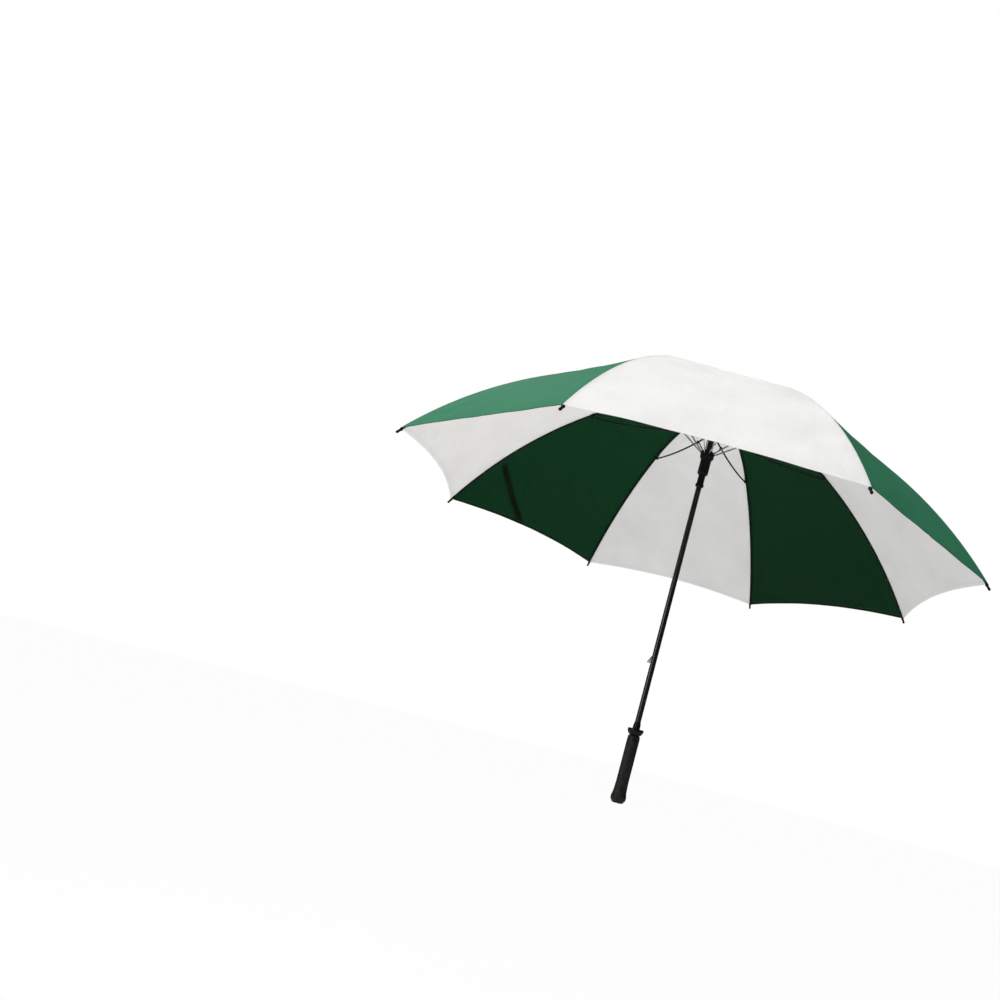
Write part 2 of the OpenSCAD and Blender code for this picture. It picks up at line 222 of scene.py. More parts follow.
def satin_black():
    paint = Paint("satin_black_tube", (0.004, 0.004, 0.004), 0.27)
    paint.set("Specular IOR Level", 0.36)
    drawn = paint.noise(paint.stretched(paint.place, (900, 900, 14)), 1.0)
    paint.link(paint.ranged(drawn, 0.21, 0.32), paint.shader.inputs["Roughness"])
    paint.bump(drawn, 0.06, 0.0001)
    return paint.material


def moulded(name, colour, roughness, spread):
    paint = Paint(name, colour, roughness)
    paint.set("Specular IOR Level", 0.12)
    wide = paint.noise(paint.place, 90)
    paint.link(paint.ranged(wide, roughness - 0.07, roughness + 0.08), paint.shader.inputs["Roughness"])
    shade = [(1 - spread) * c for c in colour]
    tint = [(1 + spread) * c for c in colour]
    paint.link(paint.ramp(wide, shade, tint), paint.shader.inputs["Base Color"])
    paint.bump(paint.noise(paint.place, 2600, 2), 0.12, 0.0001)
    return paint.material


def foam():
    paint = Paint("closed_cell_foam", (0.006, 0.0055, 0.0045), 0.55)
    paint.set("Specular IOR Level", 0.16)
    mottle = paint.noise(paint.place, 85, 4)
    skin = paint.ramp(mottle, (0.0015, 0.0014, 0.0012), (0.019, 0.0155, 0.0125))
    paint.link(skin, paint.shader.inputs["Base Color"])
    paint.link(paint.ranged(mottle, 0.46, 0.68), paint.shader.inputs["Roughness"])
    cells = paint.node("ShaderNodeTexVoronoi", Scale=1300.0)
    paint.link(paint.place, cells.inputs["Vector"])
    paint.bump(cells.outputs["Distance"], 0.35, 0.0004)
    paint.bump(mottle, 0.3, 0.0012)
    return paint.material


def fibreglass():
    paint = Paint("black_fibreglass", (0.0035, 0.0035, 0.0038), 0.34)
    paint.set("Specular IOR Level", 0.12)
    strands = paint.noise(paint.place, 420, 2)
    paint.link(paint.ranged(strands, 0.28, 0.44), paint.shader.inputs["Roughness"])
    paint.bump(strands, 0.1, 0.0001)
    return paint.material


def plated_steel(name, colour, roughness):
    paint = Paint(name, colour, roughness, 1.0)
    worn = paint.noise(paint.place, 160, 4)
    fine = paint.noise(paint.stretched(paint.place, (1400, 1400, 120)), 1.0)
    paint.link(paint.ranged(worn, roughness - 0.08, roughness + 0.14), paint.shader.inputs["Roughness"])
    paint.link(paint.ramp(worn, [0.82 * c for c in colour], colour), paint.shader.inputs["Base Color"])
    paint.bump(fine, 0.06, 0.0001)
    return paint.material


def cloth(name, colour, through, share, sheen, specular):
    """Plain-woven pongee. share is how much of its light goes through, tinted by through."""
    paint = Paint(name, colour, 0.65)
    paint.set("Sheen Weight", sheen)
    paint.set("Sheen Roughness", 0.35)
    paint.set("Specular IOR Level", specular)
    laid = paint.node("ShaderNodeUVMap", uv_map="cloth").outputs["UV"]
    threads = []
    for direction in ("X", "Y"):
        wave = paint.node("ShaderNodeTexWave", Scale=420.0, Distortion=0.6)
        wave.bands_direction = direction
        paint.link(laid, wave.inputs["Vector"])
        threads.append(wave.outputs["Fac"])
    weave = paint.maths("MULTIPLY", *threads)
    broad = paint.noise(laid, 9, 3)
    cloudy = paint.ramp(broad, [0.93 * c for c in colour], [min(1, 1.05 * c) for c in colour])
    paint.link(cloudy, paint.shader.inputs["Base Color"])
    folds = paint.noise(paint.stretched(laid, (34, 7, 1)), 1.0, 4, 0.6)
    paint.bump(folds, 0.6, 0.003)
    paint.bump(weave, 0.12, 0.0002)
    glow = paint.node("ShaderNodeBsdfTranslucent", Color=(*through, 1))
    paint.link(paint.shader.inputs["Normal"].links[0].from_socket, glow.inputs["Normal"])
    mix = paint.node("ShaderNodeMixShader", Fac=share)
    paint.link(paint.shader.outputs["BSDF"], mix.inputs[1])
    paint.link(glow.outputs["BSDF"], mix.inputs[2])
    paint.link(mix.outputs["Shader"], paint.output.inputs["Surface"])
    return paint.material


def plain_cloth(name, colour, roughness):
    """Webbing or thread that lets no light through."""
    paint = Paint(name, colour, roughness)
    paint.set("Sheen Weight", 0.03)
    paint.set("Specular IOR Level", 0.2)
    fibres = paint.noise(paint.place, 2200, 2)
    paint.link(paint.ramp(fibres, [0.8 * c for c in colour], colour), paint.shader.inputs["Base Color"])
    paint.bump(fibres, 0.3, 0.0002)
    return paint.material


GREEN = (0.028, 0.2, 0.1)
# The green cloth's underside colour below is painted shade: a near-black copy of the green that stands for
# the shade inside the canopy.
GREEN_PAINTED_SHADE_UNDERSIDE = (0.008, 0.0078, 0.0045)
GREEN_GLOW = (0.07, 0.42, 0.28)
WHITE = (0.76, 0.755, 0.74)
# The white underside and double-layer colours below are painted light: lighter copies of the white cloth
# that stand for light coming through the canopy.
WHITE_PAINTED_LIGHT_UNDERSIDE = (0.82, 0.815, 0.805)
WHITE_PAINTED_LIGHT_DOUBLE = (0.84, 0.835, 0.82)
WHITE_GLOW = (0.95, 0.94, 0.92)
MATERIAL = {
    "shaft": satin_black(),
    "plastic": moulded("moulded_black", (0.0035, 0.0035, 0.0038), 0.36, 0.35),
    "spring": plated_steel("blackened_spring_steel", (0.05, 0.05, 0.052), 0.38),
    "foam": foam(),
    "rod": fibreglass(),
    "steel": plated_steel("plated_steel", (0.56, 0.57, 0.58), 0.3),
    "cap": moulded("white_cap", (0.74, 0.74, 0.72), 0.38, 0.03),
    "green_out": cloth("green_pongee", GREEN, (0.02, 0.32, 0.16), 0.35, 0.02, 0.08),
    # Both underside materials of the green cloth take the painted-shade underside colour.
    "green_in": cloth("green_pongee_underside_painted_shade", GREEN_PAINTED_SHADE_UNDERSIDE, GREEN_GLOW, 0.4, 0.01, 0.06),
    "green_double": cloth("green_hem_underside_painted_shade", GREEN_PAINTED_SHADE_UNDERSIDE, GREEN_GLOW, 0.2, 0.01, 0.06),
    "green_thread": plain_cloth("green_thread", (0.03, 0.17, 0.085), 0.55),
    "green_strap": plain_cloth("green_strap", (0.02, 0.14, 0.07), 0.6),
    "white_out": cloth("white_pongee", WHITE, WHITE_GLOW, 0.47, 0.1, 0.3),
    # Both underside materials of the white cloth take these painted-light lighter colours.
    "white_in": cloth("white_pongee_underside_painted_light", WHITE_PAINTED_LIGHT_UNDERSIDE, WHITE_GLOW, 0.48, 0.1, 0.3),
    "white_double": cloth("white_hem_underside_painted_light", WHITE_PAINTED_LIGHT_DOUBLE, WHITE_GLOW, 0.4, 0.1, 0.3),
    "white_thread": plain_cloth("white_thread", (0.8, 0.79, 0.77), 0.55),
}

# ---- Mesh helpers ----


def new_object(name, mesh, materials):
    for material in materials:
        mesh.materials.append(material)
    made = bpy.data.objects.new(name, mesh)
    bpy.context.scene.collection.objects.link(made)
    return made


def smooth(mesh, sharp=0.6):
    mesh.shade_smooth()
    mesh.set_sharp_from_angle(angle=sharp)


def rounded(outline, steps=5):
    """The outline with an arc at each point that carries a fillet radius as its third number."""
    points = []
    for i, corner in enumerate(outline):
        here = Vector(corner[:2])
        if len(corner) < 3 or i in (0, len(outline) - 1):
            points.append(here)
            continue
        before = (Vector(outline[i - 1][:2]) - here).normalized()
        after = (Vector(outline[i + 1][:2]) - here).normalized()
        half = math.acos(max(-1, min(1, before.dot(after)))) / 2
        centre = here + (before + after).normalized() * corner[2] / math.sin(half)
        start = here + before * corner[2] / math.tan(half) - centre
        end = here + after * corner[2] / math.tan(half) - centre
        turn = math.atan2(start.x * end.y - start.y * end.x, start.dot(end))
        points += [centre + Matrix.Rotation(turn * j / steps, 2) @ start for j in range(steps + 1)]
    return points


def finished(work, name, material, sharp=0.6):
    """An object from a bmesh, faced outward and smooth up to the angle sharp."""
    bmesh.ops.recalc_face_normals(work, faces=work.faces)
    mesh = bpy.data.meshes.new(name)
    work.to_mesh(mesh)
    work.free()
    smooth(mesh, sharp)
    return new_object(name, mesh, [material])


def lathe(name, outline, material, sides=96, closed=False):
    """A body turned about the shaft's axis from an outline of (radius, height[, fillet])."""
    spokes = [outward(math.tau * i / sides) for i in range(sides)]
    work = bmesh.new()
    rings = []
    for point in rounded(outline):
        around = [Vector()] if point.x < 1e-6 else spokes
        rings.append([work.verts.new(spoke * point.x + UP * point.y) for spoke in around])
    following = rings[1:] + rings[:1] if closed else rings[1:]
    for lower, upper in zip(rings, following):
        for i in range(sides):
            bottom = [lower[n % len(lower)] for n in (i, i + 1)]
            top = [upper[n % len(upper)] for n in (i + 1, i)]
            corners = list(dict.fromkeys(bottom + top))
            if len(corners) > 2:
                work.faces.new(corners)
    return finished(work, name, material)


def tube(name, points, radius, material, sides):
    """A round wire along points, with flat ends."""
    turns = [math.tau * j / sides for j in range(sides)]
    work = bmesh.new()
    rings = []
    side = None
    for i, point in enumerate(points):
        ahead = points[min(i + 1, len(points) - 1)]
        behind = points[max(i - 1, 0)]
        along = (ahead - behind).normalized()
        if side is None:
            side = along.orthogonal()
        side = (side - along * side.dot(along)).normalized()
        other = along.cross(side)
        spokes = [side * math.cos(a) + other * math.sin(a) for a in turns]
        rings.append([work.verts.new(point + spoke * radius) for spoke in spokes])
    for lower, upper in zip(rings, rings[1:]):
        for j in range(sides):
            k = (j + 1) % sides
            work.faces.new((lower[j], lower[k], upper[k], upper[j]))
    work.faces.new(rings[0][::-1])
    work.faces.new(rings[-1])
    return finished(work, name, material, 1.0)


def dressed(node, name, width, material):
    """A copy of a CAD node with its sharp edges broken, which stands for that node."""
    source = frame["nodes"][node]
    work = bmesh.new()
    work.from_mesh(source.data)
    bmesh.ops.remove_doubles(work, verts=work.verts, dist=2e-6)
    bmesh.ops.dissolve_limit(work, angle_limit=0.01, verts=work.verts, edges=work.edges)
    mesh = bpy.data.meshes.new(name)
    work.to_mesh(mesh)
    work.free()
    made = new_object(name, mesh, [material])
    bevel = made.modifiers.new("edges", "BEVEL")
    bevel.width = width
    bevel.segments = 2
    bevel.limit_method = "ANGLE"
    bevel.angle_limit = 0.7
    graph = bpy.context.evaluated_depsgraph_get()
    final = bpy.data.meshes.new_from_object(made.evaluated_get(graph))
    made.modifiers.clear()
    made.data = final
    smooth(final)
    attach(made, source["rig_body"])
    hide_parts(node)


def carried(piece, body, slot, *nodes):
    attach(piece, body)
    if nodes:
        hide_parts(*nodes)


def repaint(node, material):
    piece = frame["nodes"][node]
    piece.data.materials.clear()
    piece.data.materials.append(MATERIAL[material])


# ---- Canopy ----

CLOTH_OFF = ROD + 0.0014      # height of the cloth's underside above a rib's middle
CLOTH_T = 0.0005
CLOTH_START = 0.0066          # length along the rib at which the cloth starts
TIP_LENGTH = 0.012            # rib that stands past the corner of the cloth
SCALLOP = 0.022               # how far a hem's middle curves in from its corners
SAG = 0.008                   # how far the hem's middle is pulled in between its ribs
SEAM_BAND = 0.0068            # width of the felled seam beside a rib
HEM_BAND = 0.0085
FOLD_T = 0.0004               # extra thickness of a seam or hem
TOP_ROWS, SKIRT_ROWS = 30, 36
BAND_SHARES = (0, 0.35, 0.94, 1)      # where the seam band's columns lie across it
EVEN_COLUMNS = 26
COLUMNS = EVEN_COLUMNS + len(BAND_SHARES)
STITCH = (0.0023, 0.00042, 0.00024)   # length, width and height of one stitch
STITCH_PITCH = 0.0036


def hump(u):
    return 4 * u * (1 - u)


def hem_s(u):
    return RIB_LENGTH - TIP_LENGTH - SCALLOP * hump(u)


def fan(distance, length, reach, spread, waves, phase):
    """Creases that spread from a corner: distance across and length along from it."""
    away = math.hypot(distance, length)
    fade = math.exp(-((away - reach) / spread) ** 2) * min(1, away / reach) ** 2
    return fade * math.sin(waves * math.atan2(distance, length) + phase)


def wrinkle(panel, u, s):
    """Small creases: radial ones under the cap, fans from the hem's corners and clips, and a slack hem."""
    rng = random.Random(panel)
    shift, lean, drift = (rng.uniform(0, math.tau) for _ in range(3))
    half = rib_point(s, 0)[0] * math.sin(STEP / 2)
    left = hem_s(u) - s
    total = 0.0011 * math.sin(math.tau * 3 * u + shift) * math.exp(-((s - 0.1) / 0.08) ** 2)
    total += 0.0008 * math.sin(math.tau * 4.5 * u + lean) * math.exp(-((s - 0.24) / 0.09) ** 2)
    for side, distance in ((0, 2 * half * u), (2.1, 2 * half * (1 - u))):
        total += 0.0011 * fan(distance, left, 0.09, 0.08, 6, lean + side)
        total += 0.0009 * fan(distance, s - INNER_LENGTH, 0.06, 0.05, 5, drift + side)
    total += 0.0003 * math.sin(math.tau * 4 * u + drift) * math.exp(-max(left, 0) / 0.03)
    pleat = 0.0008 * math.exp(-abs(u - 0.5) * 2 * half / 0.006) * min(1, s / 0.2)
    ease = min(1, 6 * hump(u))
    return total * ease * ease + pleat


def cloth_point(panel, u, s, off):
    """A point of a panel at u across it, from rib to rib, and length s down the rib."""
    v = (s - CLOTH_START) / (hem_s(u) - CLOTH_START)
    lift = CLOTH_OFF + off - SAG * v * v * hump(u) + wrinkle(panel, u, s)
    radius, height = rib_point(s, lift)
    middle = STEP * panel
    across = radius * math.sin(STEP / 2) * (2 * u - 1)
    return outward(middle) * radius * math.cos(STEP / 2) + sideways(middle) * across + UP * height


def cloth_normal(panel, u, s):
    du, ds = 0.004, 0.0015
    along = cloth_point(panel, u, s + ds, 0) - cloth_point(panel, u, s - ds, 0)
    across = cloth_point(panel, min(1, u + du), s, 0) - cloth_point(panel, max(0, u - du), s, 0)
    normal = across.cross(along).normalized()
    return normal if normal.z > 0 else -normal


def column_u(side, j, s):
    """Where column j lies across the panel at length s: first the seam band's, then even ones."""
    half = rib_point(s, CLOTH_OFF)[0] * math.sin(STEP / 2)
    band = min(SEAM_BAND, 0.4 * half)
    if j < len(BAND_SHARES):
        distance = BAND_SHARES[j] * band
    else:
        distance = band + (half - band) * (j - len(BAND_SHARES) + 1) / EVEN_COLUMNS
    share = distance / (2 * half)
    return share if side == "a" else 1 - share


def hem_end(side, j):
    """Length at which column j meets the hem, found by repeating until it settles."""
    s = hem_s(0.5)
    for _ in range(8):
        s = hem_s(column_u(side, j, s))
    return s


def row_lengths(part, side, j):
    """Lengths down the rib of column j's points. The last three of a skirt are its hem."""
    if part == "top":
        pitch = (INNER_LENGTH - CLOTH_START) / TOP_ROWS
        return [CLOTH_START + pitch * i for i in range(TOP_ROWS + 1)]
    end = hem_end(side, j)
    fold = end - HEM_BAND
    rows = [INNER_LENGTH + (fold - INNER_LENGTH) * i / SKIRT_ROWS for i in range(SKIRT_ROWS + 1)]
    return rows + [fold + 0.06 * HEM_BAND, end - 0.1 * HEM_BAND, end]


BOX_FACES = ((0, 2, 3, 1), (4, 5, 7, 6), (0, 1, 5, 4), (2, 6, 7, 3), (0, 4, 6, 2), (1, 3, 7, 5))
SMOOTH_WITHIN = 0.6      # least dot product of a point's normal with its face's for smooth shading


class Shell:
    """Vertices, faces, normals and UVs of one closed piece of cloth as it is put together."""

    def __init__(self):
        self.points, self.faces, self.slots, self.normals, self.marks = [], [], [], [], []

    def point(self, place, normal, mark):
        self.points.append(place)
        self.normals.append(normal)
        self.marks.append(mark)
        return len(self.points) - 1

    def face(self, corners, slot):
        self.faces.append(corners)
        self.slots.append(slot)

    def rim(self, outer, inner, columns, slot, flip):
        """The narrow wall between the edges of two grids of points."""
        rows = len(outer) // columns
        last = columns - 1
        path = list(range(columns))
        path += [i * columns + last for i in range(1, rows)]
        path += [(rows - 1) * columns + j for j in range(last - 1, -1, -1)]
        path += [i * columns for i in range(rows - 2, 0, -1)]
        for a, b in zip(path, path[1:] + path[:1]):
            wall = [outer[a], outer[b], inner[b], inner[a]]
            self.face(wall[::-1] if flip else wall, slot)

    def stitch(self, middle, along, normal, slot):
        length, width, height = STITCH
        along = along.normalized() * length / 2
        side = along.cross(normal).normalized() * width / 2
        rise = normal * height / 2
        corners = [
            self.point(middle + a * along + b * side + c * rise, None, (0, 0))
            for c in (-1, 1) for b in (-1, 1) for a in (-1, 1)
        ]
        for quad in BOX_FACES:
            self.face([corners[i] for i in quad], slot)

    def stitch_line(self, line, slot):
        """Stitches at an even pitch along the points whose numbers are in line."""
        places = [self.points[i] for i in line]
        normals = [self.normals[i] for i in line]
        ahead = STITCH_PITCH / 2
        for (p, q), normal in zip(zip(places, places[1:]), normals):
            span = (q - p).length
            while ahead < span:
                self.stitch(p.lerp(q, ahead / span), q - p, normal, slot)
                ahead += STITCH_PITCH
            ahead -= span

    def build(self, name, materials):
        mesh = bpy.data.meshes.new(name)
        mesh.from_pydata(self.points, [], self.faces)
        mesh.polygons.foreach_set("material_index", self.slots)
        layer = mesh.uv_layers.new(name="cloth")
        for loop, mark in zip(mesh.loops, layer.data):
            mark.uv = self.marks[loop.vertex_index]
        mesh.shade_smooth()
        normals = []
        for polygon in mesh.polygons:
            for i in polygon.vertices:
                own = self.normals[i]
                aligned = own is not None and own.dot(polygon.normal) > SMOOTH_WITHIN
                normals.append(own if aligned else polygon.normal.copy())
        mesh.normals_split_custom_set(normals)
        return new_object(name, mesh, materials)


OUTER, INNER, DOUBLE, THREAD = range(4)
SEAM_COLUMNS = 3
HEM_ROW = SKIRT_ROWS + 1      # first row of a skirt's hem; a top has fewer rows than this


def lay_points(shell, panel, side, part):
    """The outer and the inner points of a half panel, row by row."""
    lengths = [row_lengths(part, side, j) for j in range(COLUMNS)]
    outer, inner = [], []
    for i in range(len(lengths[0])):
        for j in range(COLUMNS):
            s = lengths[j][i]
            u = column_u(side, j, s)
            normal = cloth_normal(panel, u, s)
            folded = j < SEAM_COLUMNS or i >= HEM_ROW
            mark = (rib_point(s, 0)[0] * math.sin(STEP / 2) * 2 * u, s)
            outer.append(shell.point(cloth_point(panel, u, s, CLOTH_T), normal, mark))
            below = -FOLD_T if folded else 0
            inner.append(shell.point(cloth_point(panel, u, s, below), -normal, mark))
    return outer, inner


def lay_faces(shell, outer, inner, flip):
    """Triangles on the same diagonal outside and inside, so that the two never cross."""
    for i in range(len(outer) // COLUMNS - 1):
        for j in range(COLUMNS - 1):
            a, b = i * COLUMNS + j, (i + 1) * COLUMNS + j
            doubled = j < SEAM_COLUMNS or i >= HEM_ROW - 1
            for cell in ((a, a + 1, b + 1), (a, b + 1, b)):
                turned = cell if flip else cell[::-1]
                shell.face([outer[c] for c in turned], OUTER)
                shell.face([inner[c] for c in turned[::-1]], DOUBLE if doubled else INNER)


def fill(shell, panel, side, part):
    """One closed piece of cloth with its stitches."""
    outer, inner = lay_points(shell, panel, side, part)
    flip = side == "b"
    lay_faces(shell, outer, inner, flip)
    shell.rim(outer, inner, COLUMNS, DOUBLE, flip)
    if side == "a":
        shell.stitch_line(outer[COLUMNS + 1::COLUMNS], THREAD)
    if part == "skirt":
        hem = slice(HEM_ROW * COLUMNS, (HEM_ROW + 1) * COLUMNS)
        shell.stitch_line(outer[hem], THREAD)
        shell.stitch_line(inner[hem], THREAD)


def gather(piece):
    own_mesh(piece)


def grid_area(panel, side, part):
    """Area of a half panel's cloth, as the sum of its cells."""
    grid = []
    for j in range(COLUMNS):
        lengths = row_lengths(part, side, j)
        grid.append([cloth_point(panel, column_u(side, j, s), s, 0) for s in lengths])
    area = 0
    for left, right in zip(grid, grid[1:]):
        for i in range(len(left) - 1):
            area += (right[i + 1] - left[i]).cross(right[i] - left[i + 1]).length / 2
    return area


def half_panel(panel, side, part):
    k = panel if side == "a" else panel % RIBS + 1
    colour = "white" if panel % 2 == 0 else "green"
    name = f"canopy_{panel}_{part}_{side}"
    shell = Shell()
    fill(shell, panel, side, part)
    shades = [MATERIAL[f"{colour}_{kind}"] for kind in ("out", "in", "double", "thread")]
    piece = shell.build(name, shades)
    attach(piece, f"rib_{k}" if part == "top" else f"rib_end_{k}")
    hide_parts(f"canopy_panel_{panel}")
    reach = INNER_LENGTH if part == "top" else RIB_LENGTH - TIP_LENGTH
    width = rib_point(reach, 0)[0] * math.sin(STEP / 2)
    length = INNER_LENGTH - CLOTH_START if part == "top" else reach - INNER_LENGTH
    area = min(grid_area(panel, side, part), width * length)
    gather(piece)


def canopy():
    for panel in range(1, RIBS + 1):
        for part in ("top", "skirt"):
            for side in ("a", "b"):
                half_panel(panel, side, part)


# ---- Tie strap ----

STRAP_PANEL = 3
STRAP_FOOT = (0.58, 1.0)      # across the panel, and share of the way down it
STRAP_END = (0.96, 0.795)
STRAP_W = 0.016
STRAP_T = 0.0009
STRAP_TAPER = 0.94            # share of the length at which the end starts to narrow
STRAP_MAP = 0.19              # length of the strap on its cloth map
STRAP_ROWS, STRAP_COLUMNS = 60, 8
STRAP_STITCHES = 53


def strap_middle(t, off):
    u = STRAP_FOOT[0] + (STRAP_END[0] - STRAP_FOOT[0]) * t
    v = STRAP_FOOT[1] + (STRAP_END[1] - STRAP_FOOT[1]) * t
    s = CLOTH_START + (hem_s(u) - CLOTH_START) * (0.995 * v)
    return cloth_point(STRAP_PANEL, u, s, off), cloth_normal(STRAP_PANEL, u, s)


def strap_lift(t):
    """Height of the strap above the cloth: highest half way, with small ripples."""
    return 0.0010 + 0.0012 * math.sin(math.pi * t) + 0.0003 * math.sin(26 * t)


def strap_points(shell, across):
    """Rows of points of the strap's upper and lower face, with a raised band along each edge."""
    outer, inner = [], []
    for i in range(STRAP_ROWS + 1):
        t = i / STRAP_ROWS
        place, normal = strap_middle(t, CLOTH_T)
        end = max(0, (t - STRAP_TAPER) / (1 - STRAP_TAPER))
        half = STRAP_W / 2 * (1 - 0.35 * end ** 2)
        for j in range(STRAP_COLUMNS + 1):
            c = 2 * j / STRAP_COLUMNS - 1
            rise = strap_lift(t) + (0.0003 if 0.72 < abs(c) < 1 else 0)
            at = place + across * half * c + normal * rise
            mark = (half * c, t * STRAP_MAP)
            outer.append(shell.point(at + normal * STRAP_T, normal, mark))
            inner.append(shell.point(at, -normal, mark))
    return outer, inner


def strap_stitches(shell, across):
    for i in range(STRAP_STITCHES):
        t = 0.02 + 0.96 * i / (STRAP_STITCHES - 1)
        place, normal = strap_middle(t, CLOTH_T)
        ahead = strap_middle(t + 0.005, CLOTH_T)[0] - place
        half = STRAP_W / 2 * (1 if t < STRAP_TAPER else 0.8)
        for c in (-0.82, 0.82):
            edge = place + across * half * c
            shell.stitch(edge + normal * (strap_lift(t) + STRAP_T + 0.0003), ahead, normal, 1)


def tie_strap():
    shell = Shell()
    span = strap_middle(1, 0)[0] - strap_middle(0, 0)[0]
    across = span.cross(strap_middle(0.5, 0)[1]).normalized()
    outer, inner = strap_points(shell, across)
    wide = STRAP_COLUMNS + 1
    for i in range(STRAP_ROWS):
        for j in range(STRAP_COLUMNS):
            a, b = i * wide + j, (i + 1) * wide + j
            cell = [a, a + 1, b + 1, b]
            shell.face([outer[c] for c in cell], 0)
            shell.face([inner[c] for c in cell[::-1]], 0)
    shell.rim(outer, inner, wide, 0, True)
    strap_stitches(shell, across)
    piece = shell.build("tie_strap_webbing", [MATERIAL["green_strap"], MATERIAL["green_thread"]])
    if sum(polygon.normal.z for polygon in piece.data.polygons) < 0:
        piece.data.flip_normals()
    k = STRAP_PANEL + 1
    carried(piece, f"rib_end_{k}", "green_fabric", "tie_strap")
    gather(piece)


# ---- Handle, shaft and ferrule ----


def handle():
    flare = 0.0164
    grip = 0.0133
    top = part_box("grip")[1].z
    outline = [
        (0.0100, 0.0000), (flare - 0.0050, 0.0, 0.0040), (flare, 0.0076, 0.0040),
        (flare, 0.0136, 0.005), (flare - 0.0020, 0.0225, 0.02), (grip, 0.043, 0.08),
        (grip + 0.0001, top - 0.009, 0.02), (grip - 0.0003, top - 0.0012, 0.0032),
        (grip - 0.0040, top, 0.0010), (0.0081, top, 0.0004), (0.0081, top - 0.004),
    ]
    foam_grip = lathe("foam_grip", outline, MATERIAL["foam"], 128)
    carried(foam_grip, "shaft", "foam_grip", "grip")
    repaint("grip_core", "plastic")
    plug = [
        (0, 0.0006), (0.0052, 0.0006, 0.0004), (0.0058, 0.0000, 0.0003), (0.0090, 0.0000, 0.0004),
        (0.00995, 0.0006, 0.0003), (0.00995, 0.003), (0.0049, 0.003, 0.0002),
        (0.0049, 0.0148, 0.0006), (0, 0.0148),
    ]
    end_plug = lathe("end_plug", plug, MATERIAL["plastic"])
    carried(end_plug, "shaft", "black_plastic", "end_cap")


def cup_web(webs, azimuth, outline, thick):
    """A thin upright web in the radial plane at azimuth, from an outline of (radius, height)."""
    step = sideways(azimuth) * thick / 2
    middles = [in_plane(azimuth, point) for point in outline]
    pairs = [(webs.verts.new(middle - step), webs.verts.new(middle + step)) for middle in middles]
    for (a, b), (c, d) in zip(pairs, pairs[1:] + pairs[:1]):
        webs.faces.new((a, c, d, b))
    webs.faces.new([pair[0] for pair in pairs][::-1])
    webs.faces.new([pair[1] for pair in pairs])


def tip_cup():
    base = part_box("grip")[1].z
    rim = base + 0.014
    floor_z = rim - 0.0056
    top = rim + 0.015
    outline = [
        (TUBE, base), (0.0110, base, 0.0006), (0.0122, base + 0.0012, 0.001),
        (0.0142, base + 0.0029, 0.003), (0.0162, base + 0.0060, 0.004),
        (0.0173, rim - 0.0048, 0.003), (0.0172, rim - 0.0010, 0.0022),
        (0.0160, rim + 0.0001, 0.0008), (0.0148, rim - 0.0002, 0.0006),
        (0.0146, floor_z + 0.0012, 0.0012), (0.0126, floor_z, 0.0008), (0.0081, floor_z, 0.0008),
        (0.0079, top - 0.0080, 0.02), (0.0073, top - 0.0038, 0.01), (0.0066, top, 0.0003),
        (TUBE, top),
    ]
    cup = lathe("rib_tip_cup", outline, MATERIAL["plastic"], 128, closed=True)
    carried(cup, "shaft", "black_plastic", "tip_cup")
    cup_webs(floor_z, rim)


def cup_webs(floor_z, rim):
    """Eight webs that part the cup into a pocket for each rib's tip."""
    webs = bmesh.new()
    foot = floor_z - 0.0002
    web = [(0.0077, foot), (0.0149, foot), (0.0149, rim - 0.0022), (0.0076, rim - 0.0010)]
    for k in range(1, RIBS + 1):
        cup_web(webs, rib_azimuth(k) + STEP / 2, web, 0.0009)
    bmesh.ops.recalc_face_normals(webs, faces=webs.faces)
    bmesh.ops.bevel(webs, geom=webs.edges[:], offset=0.0002, segments=2, affect="EDGES")
    carried(finished(webs, "cup_webs", MATERIAL["plastic"]), "shaft", "black_plastic")


def ferrule():
    base = NOTCH[1] + 0.010
    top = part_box("ferrule")[1].z
    outline = [
        (TUBE, base), (0.0092, base, 0.0004), (0.0092, base + 0.003, 0.0008),
        (0.0082, base + 0.006, 0.0015), (0.0078, base + 0.016, 0.01), (0.0054, top - 0.0085, 0.003),
        (0.0058, top - 0.0062, 0.0005), (0.0058, top - 0.0022, 0.0018), (0.0040, top, 0.0018),
        (0, top),
    ]
    tapered = lathe("tapered_ferrule", outline, MATERIAL["plastic"])
    carried(tapered, "shaft", "black_plastic", "ferrule")
    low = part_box("top_cap")[0].z
    washer = [
        (0.0064, low + 0.0006), (0.0178, low, 0.0003), (0.0190, low + 0.0005, 0.0003),
        (0.0182, low + 0.0011, 0.0006), (0.0120, low + 0.0024, 0.006),
        (0.0074, low + 0.0028, 0.0004), (0.0064, low + 0.0028, 0.0002),
    ]
    cap_washer = lathe("cap_washer", washer, MATERIAL["cap"], closed=True)
    carried(cap_washer, "shaft", "cap_white", "top_cap")


# ---- Runner and crown ----


SPRING_WIRE = 0.0009
SPRING_COIL = 0.00875
SPRING_TURNS = 15
FLAT_TURNS = 1.5        # close-wound turns at each end of the spring


def spring_height(turn, start, end):
    """Height of the wire's middle after a number of turns, between start and end."""
    flat = 2.05 * SPRING_WIRE * FLAT_TURNS
    opened = (turn - FLAT_TURNS) / (SPRING_TURNS - 2 * FLAT_TURNS)
    first = min(1, turn / FLAT_TURNS)
    middle = min(1, max(0, opened))
    last = max(0, (turn - SPRING_TURNS + FLAT_TURNS) / FLAT_TURNS)
    return start + flat * (first + last) + (end - start - 2 * flat) * middle


